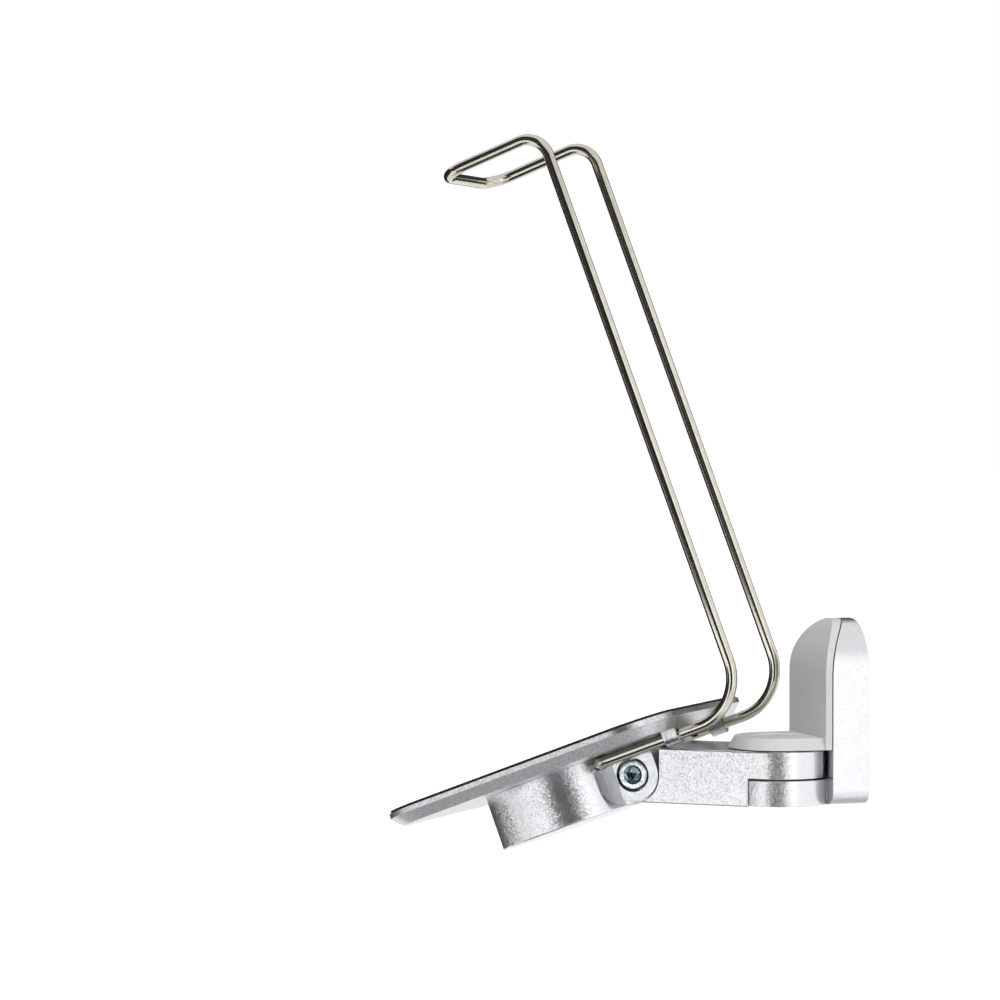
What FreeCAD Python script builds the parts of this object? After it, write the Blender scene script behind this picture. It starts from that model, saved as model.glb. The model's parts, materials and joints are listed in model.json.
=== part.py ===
import FreeCAD, Part

import math
import os

import Sketcher

# Speaker wall bracket, in millimetres, +Z up.
# The origin lies on the wall face, midway between the two wall screws.
# The bracket reaches away from the wall along -Y.
#
# Three frames carry the pieces:
#   wall frame: origin on the swivel axis at the height of the tilt pivot, axes as the part's own
#   arm frame:  same origin, x along the arm towards the tilt pivot, y to its near side
#   head frame: origin on the tilt pivot, x away from the wall along the base plate, z square to it

SIZES = {
    # Pose in which the bracket is drawn, and the furthest tilt, in degrees
    "swivel_rest_angle": 38.4,
    "tilt_rest_angle": 20.8,
    "tilt_most_angle": 35,
    # Where the swivel axis and the tilt pivot lie
    "swivel_reach": 21.6,
    "pivot_drop": 27,
    "arm_length": 38.6,
    # Wall plate
    "plate_width": 29.2,
    "plate_rise": 44.2,
    "plate_foot": 7.5,
    "plate_depth": 10.75,
    "plate_corner": 4,
    "plate_bend_radius": 18.9,
    "plate_bend_rise": 15,
    "lug_radius": 14.5,
    "lap_pocket_clearance": 0.8,
    "wall_screw_spacing": 18,
    "wall_screw_hole_radius": 2.75,
    "wall_screw_head_radius": 5.2,
    "wall_screw_seat": 3.6,
    "plate_rib_width": 13,
    "plate_core_depth": 5.5,
    # Cover over the wall plate and the swivel
    "cover_gap": 0.3,
    "cover_wall": 1.9,
    "cover_relief_depth": 0.8,
    "cover_relief_side_rim": 6.6,
    "cover_relief_top_rim": 3.6,
    "cover_peg_radius": 1.4,
    "cover_peg_length": 3,
    "cover_peg_spacing": 20,
    "cover_peg_rise": 20.5,
    "cap_radius": 14.3,
    "cap_top_radius": 12.4,
    "cap_height": 3.25,
    "cap_top_wall": 1.2,
    "cap_side_wall": 2.6,
    "cap_dish_radius": 7.2,
    "cap_dish_depth": 0.35,
    "cap_dish_lip": 0.6,
    # Swivel arm
    "arm_width": 28.4,
    "arm_half_height": 7.8,
    "lap_bottom": 0.15,
    "lap_gap": 0.5,
    "lug_clearance": 0.3,
    "tongue_width": 9.7,
    "tongue_radius": 7.2,
    "tongue_root": 6,
    "arm_trim_margin_angle": 2,
    # Swivel fasteners
    "bolt_radius": 2.5,
    "bolt_clearance": 0.05,
    "thread_clearance": 0.04,
    "washer_radius": 5,
    "washer_thickness": 1,
    "washer_bore_clearance": 0.15,
    "spring_washer_radius": 4.6,
    "spring_washer_thickness": 1.3,
    "spring_washer_slit": 0.9,
    "friction_washer_radius": 10,
    "axial_clearance": 0.05,
    "seat_depth": 4.2,
    "seat_clearance": 0.4,
    "bolt_head_radius": 4.25,
    "swivel_head_height": 3.5,
    "key_width": 4,
    "key_depth": 2.5,
    "head_rim": 0.7,
    "nut_width": 8,
    "nut_height": 4,
    "nut_collar_radius": 3.4,
    "nut_collar_height": 0.9,
    "nut_pocket_clearance": 0.1,
    "nut_recess": 0.4,
    "bolt_end_margin": 0.2,
    # Tilt head
    "ear_radius": 7.65,
    "ear_span": 28.4,
    "ear_gap": 0.3,
    "neck_drop": 5.4,
    "neck_rounding": 4,
    "neck_reach": 13,
    "flank_start": 4.3,
    "flank_radius": 9.5,
    "slot_clearance": 0.55,
    "hub_offset": 27.1,
    "hub_radius": 22,
    "head_top": 7.95,
    # Tilt fasteners
    "tilt_head_height": 5,
    "tilt_head_recess": 0.2,
    "tilt_head_clearance": 0.55,
    "tilt_nut_recess": 0.2,
    "tilt_washer_radius": 6.5,
    "tilt_washer_thickness": 0.5,
    # Base plate, its screws and its pad
    "base_length": 90.5,
    "base_width": 84.2,
    "base_corner": 15.5,
    "base_shift": 4.2,
    "base_thickness": 4.4,
    "base_chamfer": 2.95,
    "pad_thickness": 0.7,
    "pad_inset": 0.6,
    "plate_screw_count": 4,
    "plate_screw_circle": 14,
    "plate_screw_radius": 2,
    "plate_screw_head_radius": 4,
    "plate_screw_length": 12,
    "plate_screw_sink": 0.2,
    "plate_screw_key": 2.5,
    "plate_screw_key_depth": 1.5,
    # Retaining wire
    "wire_radius": 1.6,
    "wire_half_spacing": 19,
    "wire_drop": 1.85,
    "wire_entry": 7.5,
    "wire_end": 8,
    "wire_elbow_radius": 4,
    "wire_leg": 40.1,
    "wire_foot_bend": 14.3,
    "wire_top_bend": 7,
    "wire_rise": 172.9,
    "wire_crossbar": 33,
    "wire_crossbar_bend": 8,
    "wire_groove_clearance": 0.05,
    # Clips that hold the wire under the base plate
    "clip_position": -17.2,
    "clip_width": 4.3,
    "clip_strip": 1,
    "clip_clearance": 0.15,
    "clip_foot": 11.5,
    "clip_sink": 0.1,
    "clip_curl_angle": 25,
    "clip_screw_inset": 3.6,
    "clip_screw_radius": 1.25,
    "clip_screw_head_radius": 2.15,
    "clip_screw_length": 3.5,
    "clip_screw_key": 1.5,
    "clip_screw_key_depth": 0.7,
    # Walls and edge roundings of the castings, and the end of a tapped hole past its screw
    "casting_wall": 3,
    "casting_edge": 0.4,
    "tapped_hole_margin": 0.4,
    # How far a cut runs past a face
    "overrun": 1,
}

# Sides of a hexagon, and whole and part turns in degrees
HEXAGON_SIDES = 6
FULL_TURN = 360
HALF_TURN = 180
QUARTER_TURN = 90

doc = FreeCAD.newDocument("speaker_wall_bracket")
sheet = doc.addObject("Spreadsheet::Sheet", "sizes")
for row, (alias, number) in enumerate(SIZES.items(), start=1):
    sheet.set(f"A{row}", alias)
    sheet.set(f"B{row}", str(number))
    sheet.setAlias(f"B{row}", alias)
doc.recompute()


class Size:
    """A length that knows its number and the formula on the sheet that gives it."""

    def __init__(self, number, formula):
        self.number = float(number)
        self.formula = formula

    def __add__(self, other):
        return Size(self.number + number_of(other), f"({self.formula} + {formula_of(other)})")

    def __sub__(self, other):
        return Size(self.number - number_of(other), f"({self.formula} - {formula_of(other)})")

    def __mul__(self, other):
        return Size(self.number * number_of(other), f"({self.formula} * {formula_of(other)})")

    def __truediv__(self, other):
        return Size(self.number / number_of(other), f"({self.formula} / {formula_of(other)})")

    def __neg__(self):
        return Size(-self.number, f"(0 - {self.formula})")


def number_of(value):
    return value.number if isinstance(value, Size) else float(value)


def formula_of(value):
    return value.formula if isinstance(value, Size) else str(value)


def size(alias):
    return Size(sheet.get(alias), f"sizes.{alias}")


def root(value):
    return Size(math.sqrt(value.number), f"sqrt({value.formula})")


def sine(angle):
    return Size(math.sin(math.radians(angle.number)), f"sin({angle.formula} * 1 deg)")


def cosine(angle):
    return Size(math.cos(math.radians(angle.number)), f"cos({angle.formula} * 1 deg)")


def chord(radius, rise):
    """The half chord of a circle at a distance from its centre."""
    return root(radius * radius - rise * rise)


ZERO = Size(0, "0")


# Sketches

def pin(sketch, geometry, point, x, y):
    """Holds a point of a sketch at x and y, each bound to its formula."""
    for kind, axis, value in (("DistanceX", -2, x), ("DistanceY", -1, y)):
        if abs(number_of(value)) < 1e-9:
            sketch.addConstraint(Sketcher.Constraint("PointOnObject", geometry, point, axis))
            continue
        index = sketch.addConstraint(Sketcher.Constraint(kind, geometry, point, number_of(value)))
        sketch.setExpression(f"Constraints[{index}]", formula_of(value))


def draw_circle(sketch, x, y, radius):
    centre = FreeCAD.Vector(number_of(x), number_of(y), 0)
    circle = Part.Circle(centre, FreeCAD.Vector(0, 0, 1), number_of(radius))
    geometry = sketch.addGeometry(circle, False)
    pin(sketch, geometry, 3, x, y)
    index = sketch.addConstraint(Sketcher.Constraint("Radius", geometry, number_of(radius)))
    sketch.setExpression(f"Constraints[{index}]", formula_of(radius))


def draw_arc(sketch, start, end, centre, turn):
    """An arc from start to end about centre, counter-clockwise where turn is above zero."""
    middle = FreeCAD.Vector(number_of(centre[0]), number_of(centre[1]), 0)
    radius = (start - middle).Length
    first, last = (start, end) if turn > 0 else (end, start)
    angles = [math.atan2(spot.y - middle.y, spot.x - middle.x) for spot in (first, last)]
    circle = Part.Circle(middle, FreeCAD.Vector(0, 0, 1), radius)
    geometry = sketch.addGeometry(Part.ArcOfCircle(circle, angles[0], angles[1]), False)
    if abs(end.y - start.y) >= abs(end.x - start.x):
        kind, axis, value = "DistanceX", -2, centre[0]
    else:
        kind, axis, value = "DistanceY", -1, centre[1]
    if abs(number_of(value)) < 1e-9:
        sketch.addConstraint(Sketcher.Constraint("PointOnObject", geometry, 3, axis))
    else:
        index = sketch.addConstraint(Sketcher.Constraint(kind, geometry, 3, number_of(value)))
        sketch.setExpression(f"Constraints[{index}]", formula_of(value))
    return geometry, (1, 2) if turn > 0 else (2, 1)


def draw_outline(sketch, corners):
    """A closed outline. A corner is (x, y), or (x, y, centre, turn) where an arc leads on from it."""
    spots = [FreeCAD.Vector(number_of(corner[0]), number_of(corner[1]), 0) for corner in corners]
    pieces = []
    for number, corner in enumerate(corners):
        start = spots[number]
        end = spots[(number + 1) % len(spots)]
        if len(corner) > 2:
            pieces.append(draw_arc(sketch, start, end, corner[2], corner[3]))
        else:
            pieces.append((sketch.addGeometry(Part.LineSegment(start, end), False), (1, 2)))
    for number, (geometry, ends) in enumerate(pieces):
        following, next_ends = pieces[(number + 1) % len(pieces)]
        link = Sketcher.Constraint("Coincident", geometry, ends[1], following, next_ends[0])
        sketch.addConstraint(link)
        pin(sketch, geometry, ends[0], corners[number][0], corners[number][1])


def new_sketch(body, name, plane, lift=ZERO, shift=ZERO):
    """A sketch on one of the body's own planes, lifted off it, with its own origin shifted upwards."""
    sketch = body.newObject("Sketcher::SketchObject", name)
    support = [feature for feature in body.Origin.OriginFeatures if feature.Role == plane][0]
    sketch.AttachmentSupport = [(support, "")]
    sketch.MapMode = "FlatFace"
    sketch.setExpression("AttachmentOffset.Base.z", formula_of(lift))
    sketch.setExpression("AttachmentOffset.Base.y", formula_of(shift))
    return sketch


def rounded_rectangle(left, right, bottom, top, radius):
    """The corners of a rectangle with round corners, counter-clockwise."""
    return [
        (left + radius, bottom),
        (right - radius, bottom, (right - radius, bottom + radius), 1),
        (right, bottom + radius),
        (right, top - radius, (right - radius, top - radius), 1),
        (right - radius, top),
        (left + radius, top, (left + radius, top - radius), 1),
        (left, top - radius),
        (left, bottom + radius, (left + radius, bottom + radius), 1),
    ]


def rectangle(left, right, bottom, top):
    return [(left, bottom), (right, bottom), (right, top), (left, top)]


def hexagon(width):
    """The corners of a hexagon, measured across its flats."""
    reach = width / math.sqrt(3)
    angles = [FULL_TURN * number / HEXAGON_SIDES for number in range(HEXAGON_SIDES)]
    return [(reach * math.cos(math.radians(a)), reach * math.sin(math.radians(a))) for a in angles]


# Features

def new_body(label):
    body = doc.addObject("PartDesign::Body", label)
    body.Label = label
    return body


def pad(body, name, sketch, length, both_ways=False, backwards=False):
    feature = body.newObject("PartDesign::Pad", name)
    feature.Profile = sketch
    feature.setExpression("Length", formula_of(length))
    feature.SideType = "Symmetric" if both_ways else "One side"
    feature.Reversed = backwards
    return feature


def pocket(body, name, sketch, length=None, both_ways=False, backwards=False):
    """A cut against the sketch's normal, or along it where backwards is set."""
    feature = body.newObject("PartDesign::Pocket", name)
    feature.Profile = sketch
    if length is None:
        feature.Type = "ThroughAll"
    else:
        feature.setExpression("Length", formula_of(length))
    feature.SideType = "Symmetric" if both_ways else "One side"
    feature.Reversed = backwards
    return feature


def turned(body, kind, name, sketch, axis):
    """A full turn of a sketch about one of its own axes, added or cut."""
    feature = body.newObject(f"PartDesign::{kind}", name)
    feature.Profile = sketch
    feature.ReferenceAxis = (sketch, [axis])
    feature.Angle = FULL_TURN
    return feature


def countersunk_hole(body, name, spot, top, bottom, radii, sink=ZERO):
    """A screw hole with a cone for the head, which ends below the top by the sink."""
    x, y = spot
    radius, head_radius = radii
    view = new_sketch(body, f"{name}_view", "XZ_Plane", -y)
    draw_outline(view, [
        (x, bottom - overrun),
        (x + radius, bottom - overrun),
        (x + radius, top - sink - (head_radius - radius)),
        (x + head_radius, top - sink),
        (x + head_radius, top + overrun),
        (x, top + overrun),
    ])
    low_end = FreeCAD.Vector(number_of(x), number_of(bottom), 0)
    high_end = FreeCAD.Vector(number_of(x), number_of(top), 0)
    axis = view.addGeometry(Part.LineSegment(low_end, high_end), True)
    pin(view, axis, 1, x, bottom)
    pin(view, axis, 2, x, top)
    return turned(body, "Groove", name, view, "Axis0")


def edge_names(feature, wanted):
    """The names of the feature's edges that the test named wanted picks."""
    edges = feature.Shape.Edges
    return [f"Edge{number}" for number, edge in enumerate(edges, start=1) if wanted(edge)]


def round_edges(body, name, radius, wanted):
    """Rounds the edges of the body so far that the test named wanted picks."""
    doc.recompute()
    base = body.Tip
    names = edge_names(base, wanted)
    feature = body.newObject("PartDesign::Fillet", name)
    feature.Base = (base, names)
    feature.setExpression("Radius", formula_of(radius))
    return feature


def near(first, second):
    return abs(first - number_of(second)) < 1e-4


def level_edge(edge, height):
    """Whether an edge lies wholly at one height of its body."""
    box = edge.BoundBox
    return near(box.ZMin, height) and near(box.ZMax, height)


def turn_about(axis, degrees):
    return FreeCAD.Rotation(axis, degrees)


X_AXIS = FreeCAD.Vector(1, 0, 0)
Y_AXIS = FreeCAD.Vector(0, 1, 0)
Z_AXIS = FreeCAD.Vector(0, 0, 1)
NO_TURN = FreeCAD.Rotation()

# Placements of the three frames
wall_frame = FreeCAD.Placement(
    FreeCAD.Vector(0, -size("swivel_reach").number, -size("pivot_drop").number), NO_TURN
)
arm_turn = turn_about(Z_AXIS, -(QUARTER_TURN + size("swivel_rest_angle").number))
arm_frame = wall_frame * FreeCAD.Placement(FreeCAD.Vector(), arm_turn)
pivot_step = FreeCAD.Placement(FreeCAD.Vector(size("arm_length").number, 0, 0), NO_TURN)
head_turn = FreeCAD.Placement(FreeCAD.Vector(), turn_about(Y_AXIS, size("tilt_rest_angle").number))
head_frame = arm_frame * pivot_step * head_turn


def placed(frame, x=ZERO, y=ZERO, z=ZERO, turn=NO_TURN):
    spot = FreeCAD.Vector(number_of(x), number_of(y), number_of(z))
    return frame * FreeCAD.Placement(spot, turn)


# Levels and faces that several pieces share

overrun = size("overrun")
arm_half = size("arm_half_height")
lap_bottom = size("lap_bottom")
lug_top = lap_bottom - size("lap_gap")
lug_bottom = -size("plate_foot")
cap_bottom = arm_half + size("lug_clearance")
cap_top = cap_bottom + size("cap_height")
wall_face = size("swivel_reach")
plate_front = wall_face - size("plate_depth")
plate_top = size("plate_rise")
bend_start = plate_top - size("plate_bend_rise")
bend_centre = plate_front + size("plate_bend_radius")
panel_back = plate_front - size("cover_gap")
panel_front = panel_back - size("cover_wall")
seat_floor = arm_half - size("seat_depth")
nut_seat = lug_bottom + size("nut_height") + size("nut_recess")
washer_bore = size("bolt_radius") + size("washer_bore_clearance")
bolt_bore = size("bolt_radius") + size("bolt_clearance")
nut_pocket_width = size("nut_width") + size("nut_pocket_clearance") * 2
shoulder = size("ear_radius") + size("ear_gap")
tongue_half = size("tongue_width") / 2
ear_inner = tongue_half + size("slot_clearance")
ear_outer = size("ear_span") / 2
slot_end = size("tongue_radius") + size("ear_gap")
head_top = size("head_top")
tilt_seat = ear_outer - size("tilt_head_height") - size("tilt_head_recess")
tilt_nut_length = size("nut_height") + size("nut_collar_height")
tilt_nut_seat = ear_outer - tilt_nut_length - size("tilt_nut_recess")
wire_height = head_top - size("wire_drop")
base_top = head_top + size("base_thickness")
hook_inside = size("wire_radius") + size("clip_clearance")
hook_outside = hook_inside + size("clip_strip")
clip_foot_top = base_top - size("clip_sink")
clip_foot_under = clip_foot_top - size("clip_strip")
clip_outer_y = size("wire_half_spacing") + hook_outside
clip_inner_y = clip_outer_y - size("clip_foot")
clip_screw_y = clip_inner_y + size("clip_screw_inset")
peg_height = size("cover_peg_rise")


# Wall plate: arched plate with a round lug at its foot

def arch(half_width, foot, top, corner):
    """The front view of the plate: square or round foot corners and a half round top."""
    spring = top - half_width
    if number_of(corner) == 0:
        foot_corners = [(-half_width, foot), (half_width, foot)]
    else:
        foot_corners = [
            (-half_width, foot + corner, (-half_width + corner, foot + corner), 1),
            (-half_width + corner, foot),
            (half_width - corner, foot, (half_width - corner, foot + corner), 1),
            (half_width, foot + corner),
        ]
    return foot_corners + [(half_width, spring, (ZERO, spring), 1), (-half_width, spring)]


def make_wall_plate():
    body = new_body("wall_plate")
    half = size("plate_width") / 2
    front_view = new_sketch(body, "plate_front_view", "XZ_Plane", -wall_face)
    draw_outline(front_view, arch(half, lug_bottom, plate_top, size("plate_corner")))
    pad(body, "plate_slab", front_view, size("plate_depth"))

    # The front leans back to the wall in one round bend below the top
    bend = new_sketch(body, "plate_bend_view", "YZ_Plane")
    rise = size("plate_bend_rise")
    crest = bend_centre - chord(size("plate_bend_radius"), rise)
    draw_outline(bend, [
        (plate_front, bend_start, (bend_centre, bend_start), -1),
        (crest, plate_top),
        (crest, plate_top + overrun),
        (plate_front - overrun, plate_top + overrun),
        (plate_front - overrun, bend_start),
    ])
    pocket(body, "plate_bend", bend, both_ways=True)

    lug = new_sketch(body, "lug_view", "XY_Plane", lug_bottom)
    draw_circle(lug, ZERO, ZERO, size("lug_radius"))
    pad(body, "lug", lug, lug_top - lug_bottom)

    # Round pocket that the end of the arm turns in
    clearing = new_sketch(body, "lap_pocket_view", "XY_Plane", lug_top)
    draw_circle(clearing, ZERO, ZERO, size("arm_width") / 2 + size("lap_pocket_clearance"))
    pocket(body, "lap_pocket", clearing, cap_bottom - lug_top, backwards=True)

    # Countersunk screw holes, one above the other
    spacing = size("wall_screw_spacing")
    first_hole = size("pivot_drop") - spacing / 2
    hole = new_sketch(body, "screw_hole_view", "YZ_Plane", ZERO, first_hole)
    hole_radius = size("wall_screw_hole_radius")
    head_radius = size("wall_screw_head_radius")
    seat = wall_face - size("wall_screw_seat")
    draw_outline(hole, [
        (wall_face + overrun, ZERO),
        (wall_face + overrun, hole_radius),
        (seat, hole_radius),
        (seat - (head_radius - hole_radius), head_radius),
        (plate_front - overrun, head_radius),
        (plate_front - overrun, ZERO),
    ])
    cut = turned(body, "Groove", "screw_hole", hole, "H_Axis")
    doc.recompute()
    pattern = body.newObject("PartDesign::LinearPattern", "screw_holes")
    pattern.Originals = [cut]
    upright = [feature for feature in body.Origin.OriginFeatures if feature.Role == "Z_Axis"][0]
    pattern.Direction = (upright, [""])
    pattern.setExpression("Length", formula_of(spacing))
    pattern.Occurrences = 2
    body.Tip = pattern

    # Two cores from the back leave a rim and an upright rib that holds the screws
    rib = size("plate_rib_width") / 2
    rim = half - size("casting_wall")
    spring = plate_top - half
    core_foot = lug_bottom + size("casting_wall")
    cores = new_sketch(body, "back_core_view", "XZ_Plane", -wall_face)
    for side in (1, -1):
        draw_outline(cores, [
            (rib * side, core_foot),
            (rim * side, core_foot),
            (rim * side, spring, (ZERO, spring), side),
            (rib * side, spring + chord(rim, rib)),
        ])
    pocket(body, "back_cores", cores, size("plate_core_depth"), backwards=True)

    peg_holes = new_sketch(body, "peg_hole_view", "XZ_Plane", -plate_front)
    for side in (1, -1):
        peg_hole_radius = size("cover_peg_radius") + size("bolt_clearance")
        draw_circle(peg_holes, size("cover_peg_spacing") / 2 * side, peg_height, peg_hole_radius)
    pocket(body, "peg_holes", peg_holes, size("cover_peg_length") + size("cover_gap"))

    bore = new_sketch(body, "lug_bore_view", "XY_Plane", lug_top)
    draw_circle(bore, ZERO, ZERO, bolt_bore)
    pocket(body, "lug_bore", bore)
    nut_pocket = new_sketch(body, "nut_pocket_view", "XY_Plane", lug_bottom)
    draw_outline(nut_pocket, hexagon(nut_pocket_width))
    pocket(body, "nut_pocket", nut_pocket, nut_seat - lug_bottom, backwards=True)
    body.Placement = wall_frame
    return body


# Cover: an arched panel that follows the plate's front, with a round cap over the swivel

def make_wall_cover():
    body = new_body("wall_cover")
    half = size("plate_width") / 2
    depth = wall_face - panel_front
    front_view = new_sketch(body, "panel_front_view", "XZ_Plane", -wall_face)
    draw_outline(front_view, arch(half, cap_bottom, plate_top, ZERO))
    pad(body, "panel_block", front_view, depth)

    # The back and the front of the panel follow the plate's bend
    past_top = plate_top + overrun
    rise = past_top - bend_start
    inner = bend_centre - panel_back
    outer = bend_centre - panel_front
    back = new_sketch(body, "panel_back_view", "YZ_Plane")
    draw_outline(back, [
        (panel_back, cap_bottom - overrun),
        (panel_back, bend_start, (bend_centre, bend_start), -1),
        (bend_centre - chord(inner, rise), past_top),
        (wall_face + overrun, past_top),
        (wall_face + overrun, cap_bottom - overrun),
    ])
    pocket(body, "panel_back", back, both_ways=True)
    front = new_sketch(body, "panel_bend_view", "YZ_Plane")
    draw_outline(front, [
        (panel_front, bend_start, (bend_centre, bend_start), -1),
        (bend_centre - chord(outer, rise), past_top),
        (panel_front - overrun, past_top),
        (panel_front - overrun, bend_start),
    ])
    pocket(body, "panel_bend", front, both_ways=True)

    # The back is relieved over the heads of the wall screws
    relief_back = panel_back - size("cover_relief_depth")
    relief_top = plate_top - size("cover_relief_top_rim")
    relief_rise = relief_top - bend_start
    relief = new_sketch(body, "panel_relief_view", "YZ_Plane")
    draw_outline(relief, [
        (relief_back, cap_top),
        (relief_back, bend_start, (bend_centre, bend_start), -1),
        (bend_centre - chord(bend_centre - relief_back, relief_rise), relief_top),
        (wall_face + overrun, relief_top),
        (wall_face + overrun, cap_top),
    ])
    pocket(body, "panel_relief", relief, (half - size("cover_relief_side_rim")) * 2, both_ways=True)

    # Two pegs push into the plate
    pegs = new_sketch(body, "peg_view", "XZ_Plane", -panel_back)
    for side in (1, -1):
        draw_circle(pegs, size("cover_peg_spacing") / 2 * side, peg_height, size("cover_peg_radius"))
    pad(body, "pegs", pegs, size("cover_gap") + size("cover_peg_length"), backwards=True)

    # Bevelled cap: half round in front, straight from the swivel to the panel
    cap_radius = size("cap_radius")
    cap_top_radius = size("cap_top_radius")
    cap = new_sketch(body, "cap_view", "XZ_Plane")
    draw_outline(cap, [
        (ZERO, cap_bottom),
        (cap_radius, cap_bottom),
        (cap_top_radius, cap_top),
        (ZERO, cap_top),
    ])
    turned(body, "Revolution", "cap", cap, "V_Axis")
    sides = new_sketch(body, "cap_side_view", "XZ_Plane")
    draw_outline(sides, [
        (-cap_radius, cap_bottom),
        (cap_radius, cap_bottom),
        (cap_top_radius, cap_top),
        (-cap_top_radius, cap_top),
    ])
    pad(body, "cap_sides", sides, panel_back, backwards=True)

    # Hollow below, round like the cap, and a shallow round dish on top
    hollow = new_sketch(body, "cap_hollow_view", "XY_Plane", cap_bottom)
    hollow_radius = cap_radius - size("cap_side_wall")
    draw_outline(hollow, [
        (hollow_radius, ZERO),
        (hollow_radius, panel_front),
        (-hollow_radius, panel_front),
        (-hollow_radius, ZERO, (ZERO, ZERO), 1),
    ])
    pocket(body, "cap_hollow", hollow, size("cap_height") - size("cap_top_wall"), backwards=True)
    dish = new_sketch(body, "cap_dish_view", "XZ_Plane")
    dish_radius = size("cap_dish_radius")
    draw_outline(dish, [
        (ZERO, cap_top - size("cap_dish_depth")),
        (dish_radius, cap_top - size("cap_dish_depth")),
        (dish_radius + size("cap_dish_lip"), cap_top),
        (dish_radius + size("cap_dish_lip"), cap_top + overrun),
        (ZERO, cap_top + overrun),
    ])
    turned(body, "Groove", "cap_dish", dish, "V_Axis")

    # The cap stops at the back of the panel
    trim = new_sketch(body, "cap_trim_view", "XY_Plane", cap_bottom - overrun)
    draw_outline(trim, [
        (-size("cap_radius"), panel_back),
        (size("cap_radius"), panel_back),
        (size("cap_radius"), size("cap_radius") + overrun),
        (-size("cap_radius"), size("cap_radius") + overrun),
    ])
    pocket(body, "cap_trim", trim, cap_top - cap_bottom + overrun * 2, backwards=True)
    body.Placement = wall_frame
    return body


# Swivel arm: a lap over the lug at one end, a tongue at the tilt pivot at the other

def make_swivel_arm():
    body = new_body("swivel_arm")
    half = size("arm_width") / 2
    length = size("arm_length")
    plan = new_sketch(body, "arm_plan", "XY_Plane", -arm_half)
    draw_outline(plan, [
        (length, -half),
        (length, half),
        (ZERO, half, (ZERO, ZERO), 1),
        (ZERO, -half),
    ])
    pad(body, "arm_block", plan, arm_half * 2)
    round_edges(
        body, "arm_rim", size("casting_edge"),
        lambda edge: level_edge(edge, arm_half) or level_edge(edge, -arm_half),
    )

    under_lap = new_sketch(body, "under_lap_view", "XY_Plane", -arm_half)
    draw_circle(under_lap, ZERO, ZERO, size("lug_radius") + size("lug_clearance"))
    pocket(body, "under_lap", under_lap, arm_half + lap_bottom, backwards=True)

    # End of the arm: upright shoulder above the pivot, hollow round the ears below it
    trim = size("tilt_most_angle") + size("arm_trim_margin_angle")
    trim_x = length - shoulder * sine(trim)
    trim_z = -(shoulder * cosine(trim))
    trim_drop = arm_half + overrun + trim_z
    trim_run = trim_drop * cosine(trim) / sine(trim)
    end = new_sketch(body, "arm_end_view", "XZ_Plane")
    draw_outline(end, [
        (length - shoulder, arm_half + overrun),
        (length - shoulder, ZERO, (length, ZERO), 1),
        (trim_x, trim_z),
        (trim_x + trim_run, -(arm_half + overrun)),
        (length + shoulder, -(arm_half + overrun)),
        (length + shoulder, arm_half + overrun),
    ])
    pocket(body, "arm_end", end, both_ways=True)

    tongue_radius = size("tongue_radius")
    tongue = new_sketch(body, "tongue_view", "XZ_Plane")
    draw_outline(tongue, [
        (length - shoulder - size("tongue_root"), -tongue_radius),
        (length, -tongue_radius, (length, ZERO), 1),
        (length, tongue_radius),
        (length - shoulder - size("tongue_root"), tongue_radius),
    ])
    pad(body, "tongue", tongue, size("tongue_width"), both_ways=True)

    # The casting is cored from below, between the lug and the end
    wall = size("casting_wall")
    core = new_sketch(body, "arm_core_view", "XY_Plane", -arm_half)
    draw_outline(core, rounded_rectangle(
        size("lug_radius") + size("lug_clearance") + wall, length - shoulder - wall, -half + wall, half - wall,
        wall / 2,
    ))
    pocket(body, "arm_core", core, arm_half * 2 - wall, backwards=True)

    seat = new_sketch(body, "bolt_seat_view", "XY_Plane", arm_half)
    draw_circle(seat, ZERO, ZERO, size("washer_radius") + size("seat_clearance"))
    pocket(body, "bolt_seat", seat, size("seat_depth"))
    bore = new_sketch(body, "swivel_bore_view", "XY_Plane", arm_half)
    draw_circle(bore, ZERO, ZERO, bolt_bore)
    pocket(body, "swivel_bore", bore)
    cross = new_sketch(body, "tilt_bore_view", "XZ_Plane")
    draw_circle(cross, length, ZERO, bolt_bore)
    pocket(body, "tilt_bore", cross, both_ways=True)
    body.Placement = arm_frame
    return body


# Tilt head: two ears and a neck on a round hub, cast as one

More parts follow.
